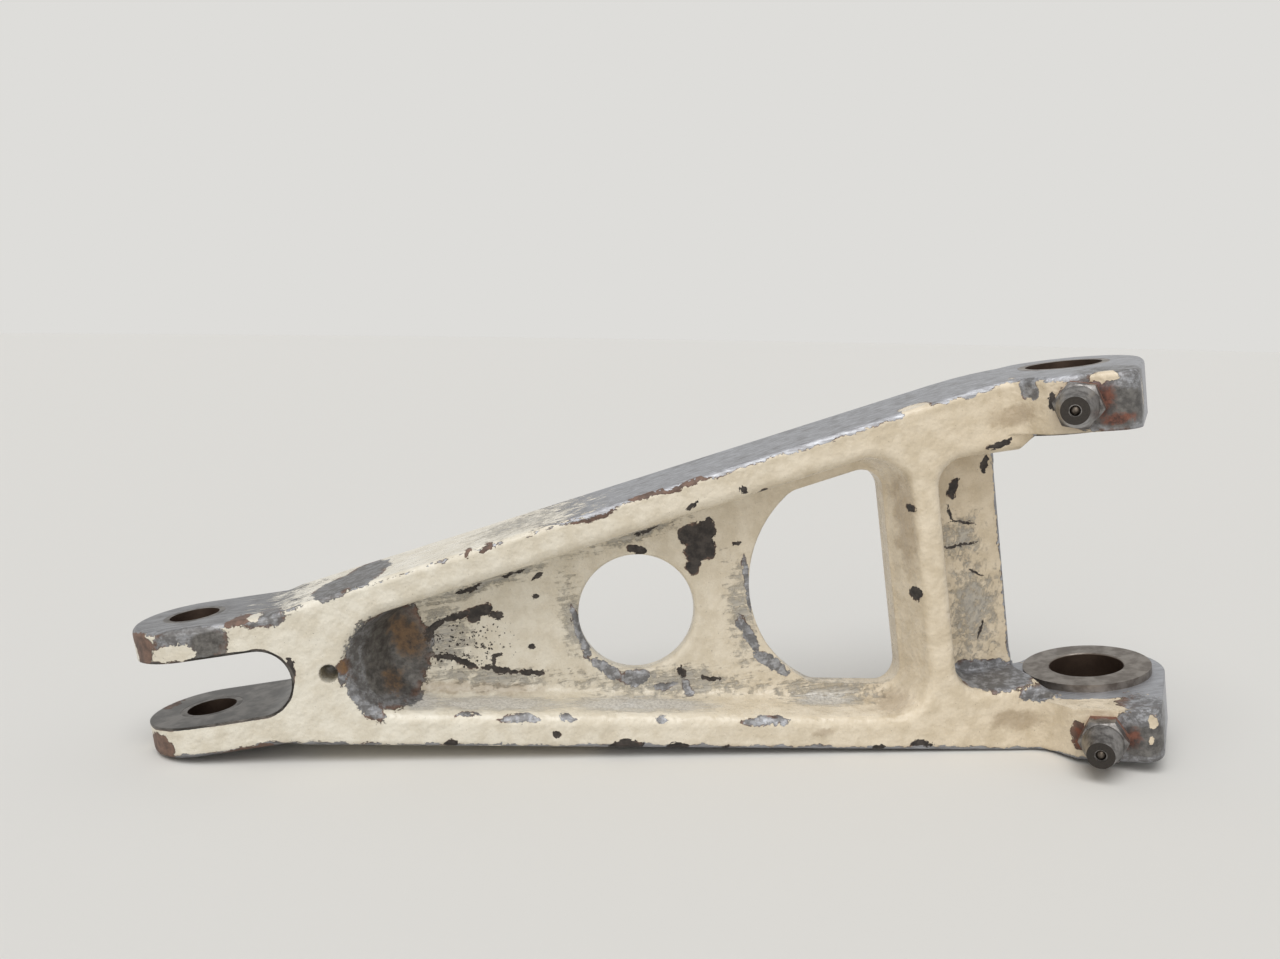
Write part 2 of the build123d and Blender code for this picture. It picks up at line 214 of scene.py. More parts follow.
# %% Lamps
def make_sun(name, towards, strength, softness, colour):
    """Distant lamp that shines from a direction; its softness is the angle it covers, in degrees."""
    data = bpy.data.lights.new(name, "SUN")
    data.energy = strength
    data.angle = radians(softness)
    data.color = linear(colour)[:3]
    lamp = bpy.data.objects.new(name, data)
    bpy.context.scene.collection.objects.link(lamp)
    lamp.rotation_euler = Vector(towards).to_track_quat("Z", "Y").to_euler()
    print("lamp", name, "has strength", strength, "and covers", softness, "degrees")


make_sun("window_above", (-0.15, -0.45, 1.0), 1.9, 52, "#FFFFFF")
make_sun("fill_by_camera", (-0.4, -1.0, 0.35), 0.6, 45, "#FFF8EE")

# %% [markdown]
# ## Camera
# The picture was taken from close by, a little from above, with the camera tilted to its side.
# The camera's place and turns were worked out from the corners of the object in the picture. They
# are given in the knee's own millimetres and directions, and turned into the scene's here.

# %% Camera
IMAGE_WIDTH = 1280
FOCAL_PIXELS = 1189.5
SENSOR_WIDTH = 36
CAMERA_PLACE = (80.43, 67.01, 251.5)
YAW, PITCH, ROLL = radians(3.781), radians(8.62), radians(7.465)

optics = bpy.data.cameras.new("camera")
optics.sensor_width = SENSOR_WIDTH
optics.sensor_fit = "HORIZONTAL"
optics.lens = SENSOR_WIDTH * FOCAL_PIXELS / IMAGE_WIDTH
optics.clip_start = 0.01
turn = Matrix.Rotation(ROLL, 3, "Z") @ Matrix.Rotation(-PITCH, 3, "X") @ Matrix.Rotation(-YAW, 3, "Y")
right, up, forward = (direction(row.x, row.y, -row.z) for row in turn)
facing = Matrix((right, up, -forward)).transposed().to_4x4()
camera = bpy.data.objects.new("camera", optics)
bpy.context.scene.collection.objects.link(camera)
camera.matrix_world = Matrix.Translation(place(*CAMERA_PLACE)) @ facing
bpy.context.scene.camera = camera
bpy.context.scene.view_settings.view_transform = "Standard"
print("camera at", [round(c, 3) for c in camera.location], "lens", round(optics.lens, 2))

# %% [markdown]
# ## Painted steel forging
# Low alloy steel, forged and shot blasted, then brushed with maroon primer and a cream gloss
# enamel. The paint gives a warm, soft sheen with faint waves from the forging under it. The outer
# faces of the legs, the ears and the faces between the lugs are machined and have lost their
# paint, so they show cool grey steel. Chips show a brown rim of primer and then dark steel.
# All of it starts from the shaded point in the knee's millimetres, and from three noises that every
# layer shares: clouds of 4.5 mm, a mottle of 1.8 mm and a grain of half a millimetre. Scuffs are a
# noise in a stretched space, so that they run along the knee, 5 mm long and half a millimetre wide.


# %% Point and patterns of the forging
def point_in(tree, measured):
    """The shaded point in millimetres, as measured_from() measures it."""
    spot = add(tree, "TexCoord")
    return add(tree, "Mapping", {"Vector": spot.outputs["Object"], **measured})


SCUFFS_PER_MM = (0.2, 2.2, 2.2)

forging_finish, tree = new_tree("cream_enamel_on_forged_steel")
point = point_in(tree, knee_frame)
cloud, mottle, grain = (
    add(tree, "TexNoise", {"Vector": point, "Scale": 1 / size, "Detail": detail, "Roughness": fine})
    for size, detail, fine in ((4.5, 5.0, 0.6), (1.8, 5.0, 0.68), (0.55, 4.0, 0.65))
)
scuff_space = add(tree, "Mapping", {"Vector": point, "Scale": SCUFFS_PER_MM})
scuffs = {"Vector": scuff_space, "Scale": 1.0, "Detail": 6.0, "Roughness": 0.65}
scuffs = add(tree, "TexNoise", scuffs)
print("first nodes:", [node.bl_label for node in tree.nodes])

# %% [markdown]
# ## Torn outlines
# A chip in old paint has no smooth rim. So before a mark is drawn, the point is shaken by noises of
# 0.3 and 1.2 mm, which tears every outline the same way. Enamel also breaks in small crumbs with
# corners, and cells do that, because the whole of one cell moves together. The three follow one
# another, from coarse to fine.


# %% Shaken and crumbled point
def moved_by(tree, point, colour, amount):
    """The point moved by a random colour, where middle grey means no move, in millimetres."""
    centred = add(tree, "VectorMath", (colour, (0.5, 0.5, 0.5)), operation="SUBTRACT")
    move = add(tree, "VectorMath", {0: centred, "Scale": 2 * amount}, operation="SCALE")
    return add(tree, "VectorMath", (point, move), operation="ADD")


def shaken(tree, point, size, amount, detail):
    """The point moved by a noise with features of that size, up to that amount, in millimetres."""
    settings = {"Vector": point, "Scale": 1 / size, "Detail": detail, "Roughness": 0.62}
    return moved_by(tree, point, add(tree, "TexNoise", settings).outputs["Color"], amount)


def crumbled(tree, point, size, amount):
    """The point moved by one random step in each crumb of that size, in millimetres."""
    crumbs = add(tree, "TexVoronoi", {"Vector": point, "Scale": 1 / size})
    return moved_by(tree, point, crumbs.outputs["Color"], amount)


torn = shaken(tree, point, 4.5, 1.2, 2.0)
torn = crumbled(tree, torn, 0.7, 0.22)
torn = shaken(tree, torn, 0.8, 0.3, 3.0)
print("the torn point takes", len(tree.nodes), "nodes with the patterns")

# %% [markdown]
# ## The outline, as the material sees it
# Most wear sits on the outer faces and at their edges. The outline seen from the front is simple:
# level ears, straight legs that spread, and level lugs. So its height above the centre-line is a
# formula in u, and what is left is how far the torn point lies beyond it.

# %% Distance beyond the outline
u, v, w = add(tree, "SeparateXYZ", (torn,)).outputs
height = add(tree, "Math", (v,), operation="ABSOLUTE")
depth = add(tree, "Math", (w,), operation="ABSOLUTE")
from_start = add(tree, "Math", (u, LEG_START_U), operation="SUBTRACT")
leg_edge = (from_start, LEG_SLOPE, LEG_START_HALF)
leg_edge = add(tree, "Math", leg_edge, operation="MULTIPLY_ADD")
outline = add(tree, "Math", (leg_edge, EAR_OUTER), operation="MAXIMUM")
outline = add(tree, "Math", (outline, LUG_OUTER), operation="MINIMUM")
beyond = add(tree, "Math", (height, outline), operation="SUBTRACT")
print("the outline rises", round(LEG_SLOPE * 100, 2), "mm in 100 mm of leg")

# %% [markdown]
# ## Outer faces
# The outer faces of the legs were machined, so the paint never held well there. It is gone from
# both ends toward the middle and stays on a stretch near the clevis. Clouds and scuffs make its
# ends ragged.

# %% Wear of the outer faces, in millimetres
PAINT_KEPT_U, PAINT_KEPT_HALF, PAINT_FADE = 50.0, 30.0, 0.12
FACE_MARGIN = 1.0
CLOUD_REACH, SCUFF_REACH = 2.0, 4.0

from_kept = add(tree, "Math", (u, PAINT_KEPT_U), operation="SUBTRACT")
from_kept = add(tree, "Math", (from_kept,), operation="ABSOLUTE")
faded = (from_kept, PAINT_FADE, -PAINT_KEPT_HALF * PAINT_FADE)
faded = add(tree, "Math", faded, operation="MULTIPLY_ADD")
for pattern, reach in ((cloud, CLOUD_REACH), (scuffs, SCUFF_REACH)):
    ragged = add(tree, "Math", (pattern, 2 * reach, -reach), operation="MULTIPLY_ADD")
    faded = add(tree, "Math", (faded, ragged), operation="ADD")
near_face = add(tree, "Math", (beyond, FACE_MARGIN), operation="ADD")
outer_wear = add(tree, "Math", (near_face, faded), operation="MINIMUM")
print("paint is kept from u =", PAINT_KEPT_U - PAINT_KEPT_HALF, "to", PAINT_KEPT_U + PAINT_KEPT_HALF)

# %% [markdown]
# ## Slot and lugs
# The clevis slot and the inner faces of the lugs have lost their paint to the parts that turn in
# them. The slot is a strip with a round end, so its wear is measured from a line that ends at the
# middle of that arc, with the point before it was torn, because this rim is clean. The lugs' faces
# are found by their height and by the distance to the pin, and the lugs' ends wear through too.

# %% Wear of the slot and the lugs, in millimetres
SLOT_END_U, SLOT_WEAR_RADIUS, SLOT_RAGGED = 13.65, 6.95, 0.9
LUG_WEAR_HALF, LUG_WEAR_RADIUS = LUG_INNER + 0.4, BOSS_RADIUS + 1.7
LUG_END_U, LUG_END_FADE, LUG_END_RAGGED = 195.0, 0.3, 3.5

steady_u, steady_v, _ = add(tree, "SeparateXYZ", (point,)).outputs
past_slot = add(tree, "Math", (steady_u, SLOT_END_U), operation="SUBTRACT")
past_slot = add(tree, "Math", (past_slot, 0.0), operation="MAXIMUM")
from_slot = add(tree, "CombineXYZ", (past_slot, steady_v, 0.0))
from_slot = add(tree, "VectorMath", (from_slot,), operation="LENGTH")
slot_reach = add(tree, "Math", (cloud, SLOT_RAGGED, SLOT_WEAR_RADIUS), operation="MULTIPLY_ADD")
slot_wear = add(tree, "Math", (slot_reach, from_slot), operation="SUBTRACT")

from_pin = add(tree, "Math", (u, PIN_SPACING), operation="SUBTRACT")
from_pin = add(tree, "CombineXYZ", (from_pin, w, 0.0))
from_pin = add(tree, "VectorMath", (from_pin,), operation="LENGTH")
under_lug = add(tree, "Math", (LUG_WEAR_HALF, height), operation="SUBTRACT")
round_pin = add(tree, "Math", (LUG_WEAR_RADIUS, from_pin), operation="SUBTRACT")
lug_wear = add(tree, "Math", (under_lug, round_pin), operation="MINIMUM")

past_end = (u, LUG_END_FADE, -LUG_END_U * LUG_END_FADE)
past_end = add(tree, "Math", past_end, operation="MULTIPLY_ADD")
ragged = add(tree, "Math", (cloud, 2 * LUG_END_RAGGED, -LUG_END_RAGGED), operation="MULTIPLY_ADD")
end_wear = add(tree, "Math", (past_end, ragged), operation="ADD")
print("lugs are worn to", round(LUG_WEAR_RADIUS, 1), "mm from the pin")

# %% [markdown]
# ## How marks are placed
# A mark is drawn as a flattened ball at a point of the knee: u, v and w of its middle, then its
# half length, half height and half depth, all in millimetres, and its turn in degrees. Larger
# marks are several balls that overlap. They could be painted on an image instead, but that needs an
# unwrapped mesh and blurs from close by. The places are the ones that the photograph shows on the
# front, and on the back there are a few of the same kind. Chips down to dark steel come first.

# %% Dark chips on the web
dark_chips = [
    # the big chip between the round hole and the window, and its tail
    (106.9, 15.4, 0.5, 3.6, 2.7, 3, 0),
    (110.2, 16.0, 0.5, 1.9, 2.3, 3, 0),
    (107.8, 11.8, 0.5, 3.5, 2.5, 3, 10),
    (110.3, 11.4, 0.5, 1.4, 2.1, 3, 0),
    (106.2, 8.2, 0.5, 1.7, 1.9, 3, 20),
    (94.2, 14.0, 0.5, 2.1, 0.9, 2, -20),
    # the two broken lines left of the round hole
    (49.0, 3.4, 0.5, 2.6, 0.7, 2, 20),
    (54.5, 5.2, 0.5, 3.6, 0.9, 2, 10),
    (59.5, 5.6, 0.5, 2.6, 1.6, 2, 10),
    (62.4, 3.9, 0.5, 1.5, 1.0, 2, -20),
    (60.4, -5.7, 0.5, 0.6, 1.4, 2, 0),
    (61.4, -4.7, 0.5, 1.3, 0.5, 2, 0),
    (54.5, -5.4, 0.5, 2.9, 0.8, 2, -30),
    (50.2, -3.6, 0.5, 2.4, 0.6, 2, -20),
    (47.4, 1.6, 0.5, 1.6, 0.6, 2, 30),
    (57.6, 4.3, 0.5, 1.2, 1.3, 2, 0),
    (61.5, -8.1, 0.5, 4.4, 0.8, 2, -20),
    (68.3, -9.9, 0.5, 3.0, 0.6, 2, -10),
    # flecks on the web
    (71.3, 6.7, 0.5, 0.8, 0.7, 2, 0),
    (68.9, -3.9, 0.5, 0.9, 0.7, 2, 0),
    (116.1, 12.1, 0.5, 0.8, 0.5, 2, 0),
    (100.7, -14.9, 0.5, 0.9, 1.6, 2, 10),
    (106.8, -17.1, 0.5, 2.6, 0.5, 2, -10),
    # streaks under the upper leg
    (57.3, 10.6, 0.6, 3.4, 0.6, 2, 10),
    (67.2, 12.6, 0.6, 2.6, 0.4, 2, 10),
    (72.2, 11.2, 0.5, 1.3, 0.5, 2, 30),
    (96.8, 17.5, 0.6, 2.8, 0.5, 2, 10),
]
print("dark chips on the web:", len(dark_chips))

# %% Dark chips on the post and the edges
dark_chips += [
    # the post and the web right of it
    (152.3, 16.3, 10.3, 0.8, 1.0, 3, 10),
    (151.8, -2.6, 9.3, 1.4, 1.7, 3, 20),
    (165.0, 17.4, 0.5, 1.1, 2.6, 2, -20),
    (172.3, 21.6, 0.5, 0.9, 2.2, 2, -20),
    (166.0, 9.6, 0.5, 3.2, 0.3, 1.5, -10),
    (165.0, 4.3, 0.5, 4.4, 0.3, 1.5, 0),
    (168.4, -2.2, 0.5, 2.2, 0.3, 1.5, -30),
    (163.4, 12.2, 0.5, 0.3, 2.0, 1.5, 10),
    (168.0, -15.5, 0.5, 0.3, 2.6, 1.5, -20),
    # edge of the upper leg and the root of the upper lug
    (117.0, 25.7, 12.3, 1.0, 0.7, 2, 0),
    (106.0, 23.8, 12.0, 1.3, 0.6, 3, 30),
    (121.5, 24.2, 10.5, 1.5, 1.0, 4, 30),
    (109.6, 20.9, 9.5, 1.3, 0.5, 4, 0),
    (171.5, 27.4, 12.0, 3.0, 0.7, 4, 10),
    # lower leg: its front face and its lower edge
    (72.1, -20.3, 12.5, 0.9, 0.7, 2, 0),
    (50.4, -18.6, 12.4, 1.3, 1.0, 2, 0),
    (86.0, -25.0, 12.4, 3.8, 1.0, 2, -10),
    (96.8, -26.9, 12.4, 2.6, 0.9, 2, -10),
    (107.0, -28.4, 12.4, 1.2, 0.6, 2, 0),
    (149.0, -34.9, 12.4, 2.6, 0.8, 2, -10),
    (139.5, -33.9, 12.4, 1.5, 0.7, 2, 0),
    # the edge of the slot
    (21.0, 2.4, 12.4, 0.7, 2.6, 2, 10),
    # left of the upper fitting
    (180.2, 36.0, 20.3, 0.8, 2.0, 3, 0),
    # the back
    (84.0, 19.5, -3.5, 3.2, 1.6, 3, 10),
    (120.0, -3.0, -3.5, 1.2, 2.4, 3, 20),
    (47.0, -4.0, -3.5, 3.8, 2.4, 3, -20),
    (136.0, 33.0, -12.4, 3.4, 1.4, 2, 10),
    (66.0, -19.0, -12.4, 2.2, 1.2, 2, -10),
    (30.0, 8.0, -12.5, 1.6, 1.1, 2, 30),
    (151.5, 6.0, -10.5, 1.4, 2.2, 3, 0),
    (168.0, -12.0, -3.5, 1.3, 3.0, 2, 10),
]
print("dark chips:", len(dark_chips))

# %% [markdown]
# ## Chips down to the primer
# Along edges the enamel breaks off and the maroon primer stays. So these marks are long and thin
# on the leg's edge, and large on the tips of the ears, which are knocked from all sides.

# %% Primer chips
primer_chips = [
    # along the front edge of the upper leg
    (96.4, 27.0, 12.2, 3.0, 0.7, 2, 10),
    (59.6, 20.4, 11.5, 0.6, 1.4, 3, 0),
    (63.4, 21.2, 11.5, 1.6, 0.8, 3, 30),
    (12.0, 13.2, 10.5, 3.2, 1.1, 4, 10),
    # the tips of both ears
    (-9.5, 9.8, 7.0, 4.6, 3.6, 7.5, 0),
    (-9.0, -11.5, 7.5, 4.4, 3.4, 7.5, 0),
    (-9.5, 9.8, -8.0, 4.4, 3.4, 6.5, 0),
    (-10.0, -10.0, -7.0, 4.4, 3.6, 6.5, 0),
    (9.0, -13.4, 11.5, 6.5, 0.9, 2, 0),
    # by the cross hole and the fittings
    (31.0, 0.6, 12.2, 1.1, 1.7, 2, 0),
    (104.0, 27.9, 12.2, 7.5, 0.5, 2, 10),
    (86.0, 24.4, 12.4, 5.0, 0.5, 2, 10),
    (180.4, -35.3, 20.5, 1.6, 3.4, 4, 0),
]
print("primer chips:", len(primer_chips))

# %% [markdown]
# ## Patches worn bright
# Hands, tools and neighbouring parts wear the paint away slowly, down to bright steel. That
# happens on the rims of the openings, in the round end of the pocket and round the grease fittings.

# %% Bare patches on the left
bare_patches = [
    # the side of the upper ear and the step behind it
    (1.6, 10.2, 12.4, 8.6, 4.0, 3, 0),
    (17.0, 13.0, 10.5, 5.4, 2.0, 4, 0),
    (31.0, 16.4, 5.0, 5.4, 1.9, 9.5, 10),
    (36.4, 17.3, 0.5, 5.6, 1.9, 12.5, 10),
    # the round end of the pocket
    (38.5, 0.2, 3.0, 9.8, 13.0, 13.5, 0),
    (34.4, -7.2, 11.9, 2.2, 5.8, 3, 30),
    (30.6, -1.0, 12.2, 1.0, 2.8, 2, 0),
    # the rims of the round hole and of the window
    (79.9, -2.5, 0.3, 1.1, 7.0, 2, 10),
    (84.5, -11.6, 0.4, 4.4, 1.3, 2, -40),
    (90.5, -14.4, 0.5, 3.4, 1.9, 2, 0),
    (96.5, -17.2, 0.5, 2.6, 0.9, 2, 0),
    (101.4, -18.6, 0.6, 1.1, 1.9, 2, 20),
    (116.3, -8.5, 0.4, 1.2, 5.2, 2, 20),
    (120.5, -15.8, 0.5, 5.0, 1.3, 2, -40),
    (114.8, -6.0, 0.5, 1.3, 1.6, 2, 0),
    (117.3, 3.0, 0.2, 0.7, 7.0, 1.6, 0),
]
print("bare patches on the left:", len(bare_patches))

# %% Bare patches on the right and the back
bare_patches += [
    # the rim of the lower leg
    (65.0, -15.6, 12.2, 4.4, 0.9, 2, -10),
    (74.8, -17.2, 12.2, 1.9, 0.6, 2, -10),
    (116.0, -24.4, 12.3, 5.2, 1.0, 2, -10),
    (94.0, -20.8, 12.2, 1.5, 0.5, 2, -10),
    (54.5, -13.4, 12.0, 2.4, 0.5, 2, -10),
    # the root of the lower lug
    (168.5, -25.0, 4.0, 9.5, 2.9, 9.5, -10),
    (175.5, -27.6, 8.0, 5.0, 2.0, 9, 0),
    # round the grease fittings
    (191.6, 35.6, 24.0, 10.4, 7.4, 17, 0),
    (193.6, -35.2, 24.0, 8.6, 7.4, 15, 0),
    (188.0, -35.2, 22.0, 7.0, 4.0, 12, 0),
    (177.5, 38.6, 15.5, 1.6, 2.4, 3, 0),
    # the back
    (150.0, 24.0, -10.0, 3.0, 3.0, 4, 0),
    (97.0, -26.0, -12.2, 6.0, 1.0, 2, -10),
    (38.0, 2.0, -8.0, 4.5, 7.0, 5, 0),
    (166.0, 18.0, -3.5, 3.5, 4.0, 2, 20),
]
print("bare patches:", len(bare_patches))

# %% [markdown]
# ## Islands, rust and dark film
# A worn place is never worn evenly. Some paint is left standing in it, rust starts where it is
# damp, and old grease leaves a dark film. Each kind has a list of its own. The film list also holds
# painted shade: all of the mark in the clevis slot, and part of the mark round the lower fitting,
# where shade falls to its right.

# %% Islands, rust, film and painted shade
paint_islands = [
    (-1.6, 8.8, 12.4, 4.4, 1.7, 3, 0),
    (-11.8, 8.4, 4.0, 1.6, 2.4, 5, 0),
    (155.0, 37.0, 10.5, 3.4, 2.0, 4, 10),
    (15.2, 13.6, 10.5, 1.4, 0.9, 3, 0),
    (188.6, 40.0, 25.5, 2.6, 1.2, 3, 0),
    (193.3, -31.9, 26.5, 1.4, 1.6, 2.5, 0),
    (192.6, -35.6, 26.9, 0.6, 0.7, 2, 0),
    (198.5, 35.0, 23.0, 0.5, 3.4, 3, 10),
]
rust_marks = [
    (43.0, 2.6, 1.0, 3.4, 5.5, 4, 20),
    (40.0, -5.5, 5.0, 3.0, 3.0, 4, 0),
    (31.0, 0.8, 12.0, 0.9, 1.4, 2, 0),
    (118.0, -24.2, 12.3, 2.2, 0.5, 2, -10),
    (180.8, -35.8, 21.5, 1.6, 3.0, 4, 0),
    (189.0, -35.4, 25.5, 2.0, 2.4, 3, 0),
    (188.5, 35.6, 25.5, 2.2, 3.8, 4, 0),
    (191.0, 31.5, 25.5, 3.0, 1.2, 5, 0),
]
dark_films_and_shade = [
    (40.0, 1.0, 0.5, 9.5, 13.0, 9, 0),
    (37.0, -4.5, 6.0, 4.0, 5.0, 4, 0),
    (191.5, 33.8, 24.5, 7.5, 4.4, 12, 0),
    # dark film, and partly painted shade to the right of the lower fitting
    (191.0, -35.6, 24.5, 6.5, 4.2, 10, 0),
    (6.0, 9.0, 12.4, 4.6, 3.6, 3, 0),
    # painted shade that fills the clevis slot
    (-4.0, 0.0, 0.0, 20.0, 8.2, 10, 0),
]
print("islands:", len(paint_islands), "rust:", len(rust_marks), "film:", len(dark_films_and_shade))

# %% [markdown]
# ## Paint that is dulled, not gone
# Rubbing greys the enamel before it wears through, or polishes it to a pale gleam, and old grease
# stains it brown. Some marks here are painted light instead: a grey band along the foot of the upper
# leg is that leg's painted shadow on the web, the pale bands on the lower leg's inner wall are partly
# a painted highlight, and one brown mark on the post's sloping wall is painted shade. These marks
# are broad and soft.

# %% Rubbed, stained and burnished places, with painted shade and highlight
rubbed_and_shaded = [
    (167.0, -10.0, 0.5, 7.0, 13.0, 2.5, 0),
    (166.0, 6.0, 0.5, 6.0, 6.0, 2.5, 0),
    (163.0, -22.0, 4.0, 6.0, 3.5, 6, 0),
    (133.0, -24.0, 1.5, 16.0, 3.4, 4, -10),
    (98.0, -16.5, 0.7, 26.0, 3.6, 3, -10),
    (60.0, -9.5, 1.0, 18.0, 2.4, 4, -10),
    (50.0, 1.0, 0.5, 8.0, 9.0, 3, 0),
    (78.5, 1.0, 0.5, 3.0, 11.0, 2, 0),
    (115.0, -4.0, 0.5, 3.5, 13.0, 2, 0),
    # these two: painted shadow of the upper leg on the web, with some rubbing
    (62.0, 11.3, 0.5, 20.0, 2.0, 3, 10),
    (95.0, 17.0, 0.5, 14.0, 1.6, 3, 10),
    (70.0, 24.0, 0.0, 14.0, 2.5, 12, 10),
    (120.0, -20.0, -3.5, 24.0, 4.0, 3, -10),
    (60.0, 8.0, -3.5, 16.0, 5.0, 3, 10),
]
stained_and_shaded = [
    (170.0, -32.5, 12.5, 6.5, 2.4, 3, -10),
    (128.0, -29.0, 12.5, 2.6, 1.0, 2, 0),
    (176.0, 33.0, 13.5, 6.0, 2.4, 4, 10),
    # painted shade on the post's sloping wall, darker tan
    (152.0, 14.0, 7.0, 2.5, 12.0, 5, 0),
    (146.0, -27.0, 6.0, 6.0, 2.6, 5, 0),
    (56.0, -11.2, 1.0, 14.0, 1.4, 3, -10),
    (98.0, -29.0, 12.4, 14.0, 1.0, 2, -10),
]
burnished_and_highlit = [
    # these bands lie on the lower leg's inner wall, which faces the lamp above: partly painted highlight
    (44.5, -10.6, 6.0, 5.0, 3.0, 5.5, -30),
    (60.0, -13.2, 6.5, 18.0, 2.4, 4.5, -10),
    (90.0, -18.4, 6.0, 20.0, 2.6, 4.5, -10),
    (131.0, -25.4, 3.0, 9.0, 2.4, 3.5, -10),
]
print("rubbed:", len(rubbed_and_shaded), "stained:", len(stained_and_shaded), "burnished:", len(burnished_and_highlit))

# %% [markdown]
# ## Cutting the marks
# One vector sum moves a ball's centre to zero and scales it to a unit ball, and the length of the
# result is 1 on its skin. Many balls are joined by keeping the smallest length. A slanted mark uses
# a turned copy of the torn point, and the copies are shared, because a very long chain of nodes
# runs out of room in the renderer. Each kind of mark becomes one value, above zero inside it. Bare
# patches are cut with the mottle as well, so that they fray.


# %% Marks
def turned_points(tree, point, angles):
    """The point turned back about w by each angle in degrees, so that slanted marks can share it."""
    turned = {}
    for angle in angles:
        turn = {"Vector": point, "Rotation": (0, 0, radians(angle))}
        turned[angle] = add(tree, "Mapping", turn, vector_type="TEXTURE")
    return turned


def marks(tree, turned, balls):
    """Smallest length over balls of (u, v, w, half length, half height, half depth, turn)."""
    nearest = None
    for u, v, w, half_length, half_height, half_depth, angle in balls:
        centre = Matrix.Rotation(radians(-angle), 3, "Z") @ Vector((u, v, w))
        scale = Vector((1 / half_length, 1 / half_height, 1 / half_depth))
        unit = (turned[angle], scale, -centre * scale)
        unit = add(tree, "VectorMath", unit, operation="MULTIPLY_ADD")
        length = add(tree, "VectorMath", (unit,), operation="LENGTH")
        if nearest is None:
            nearest = length
        else:
            nearest = add(tree, "Math", (nearest, length), operation="MINIMUM")
    return nearest


PATCH_SIZE, PATCH_FRAY = 0.78, 0.44

turned = turned_points(tree, torn, range(-40, 50, 10))
chips = add(tree, "Math", (1.0, marks(tree, turned, dark_chips)), operation="SUBTRACT")
primed = add(tree, "Math", (1.0, marks(tree, turned, primer_chips)), operation="SUBTRACT")
patches = (PATCH_SIZE, marks(tree, turned, bare_patches))
patches = add(tree, "Math", patches, operation="SUBTRACT")
patches = add(tree, "Math", (mottle, PATCH_FRAY, patches), operation="MULTIPLY_ADD")
islands = add(tree, "Math", (marks(tree, turned, paint_islands), 1.0), operation="SUBTRACT")
print("nodes with the marks:", len(tree.nodes))

# %% [markdown]
# ## Where the paint is gone
# All wear is now joined into one value, above zero where the paint is gone. Edges lose their paint
# first, more so on the lower leg, which things knock against. The islands are put back after that,
# and the dark chips go through everything.

# %% Paint that is gone
SMOOTH = {"interpolation_type": "SMOOTHSTEP"}
EDGE_REACH, LOWER_EDGE_EXTRA = 0.45, 0.3
CHIP_RIM = 0.04

from_face = add(tree, "Math", (HALF_DEPTH, depth), operation="SUBTRACT")
from_outline = add(tree, "Math", (beyond,), operation="ABSOLUTE")
edge_gap = add(tree, "Math", (from_outline, from_face), operation="MAXIMUM")
lower_leg = add(tree, "MapRange", (v, 5.0, -5.0), **SMOOTH)
edge_reach = (lower_leg, LOWER_EDGE_EXTRA, EDGE_REACH)
edge_reach = add(tree, "Math", edge_reach, operation="MULTIPLY_ADD")
edge_wear = add(tree, "Math", (edge_reach, edge_gap), operation="SUBTRACT")

gone = outer_wear
for wear in (slot_wear, lug_wear, end_wear, edge_wear, patches, primed):
    gone = add(tree, "Math", (gone, wear), operation="MAXIMUM")
gone = add(tree, "Math", (gone, islands), operation="MINIMUM")
gone = add(tree, "Math", (gone, chips), operation="MAXIMUM")
bare = add(tree, "MapRange", (gone, 0.0, CHIP_RIM), **SMOOTH)
print("edges are bare for", EDGE_REACH, "mm, and below for", EDGE_REACH + LOWER_EDGE_EXTRA, "mm")

# %% [markdown]
# ## Layers of a finish
# A worn finish is a stack: steel at the bottom, then film, primer, rust, paint and grime. Each
# layer is a small set of values, a colour, a roughness, how metallic it is and its height in
# millimetres. One function lays a layer over what is below wherever a mask is 1. Real surfaces are
# never one colour, so another lets a colour pass into a second one as a pattern rises.


# %% Layers
# A Mix node has many sockets of the same name, so they are picked by number
FACTOR = 0
NUMBERS = (2, 3, "FLOAT")
COLOURS = (6, 7, "RGBA")
# Most values of a noise lie in this band
MID_BAND = (0.35, 0.65)


def lay_over(tree, below, above, mask):
    """Mixes each value of a layer over the one below, by the mask."""
    mixed = {}
    for key in below:
        first, second, data_type = COLOURS if key == "colour" else NUMBERS
        inputs = {FACTOR: mask, first: below[key], second: above[key]}
        mixed[key] = add(tree, "Mix", inputs, data_type=data_type)
    return mixed


def passing(tree, pattern, first, second, *rise):
    """Colour that passes from one to another with a pattern, or smoothly between the ends of a rise."""
    mask = add(tree, "MapRange", (pattern, *rise), **SMOOTH) if rise else pattern
    below, above = ({"colour": linear(c) if isinstance(c, str) else c} for c in (first, second))
    return lay_over(tree, below, above, mask)["colour"]


old_steel = {
    "colour": passing(tree, mottle, "#2E2A28", "#4C4642", *MID_BAND),
    "roughness": add(tree, "Math", (grain, 0.3, 0.4), operation="MULTIPLY_ADD"),
    "metallic": 0.4,
    "height": add(tree, "Math", (grain, 0.05), operation="MULTIPLY"),
}
print("values of a layer:", list(old_steel))

# %% [markdown]
# ## Steel
# Bare forged steel is a cool mid grey. Where it was machined it is paler, toward the lugs more so,
# and scuffs from handling run along it. A metal with a roughness of about one half keeps soft
# highlights without a mirror. The old steel under the dark chips, made above, is nearly black with
# oxide and dirt.

# %% Steel of the forging
STEEL_PALES = (30.0, 75.0)

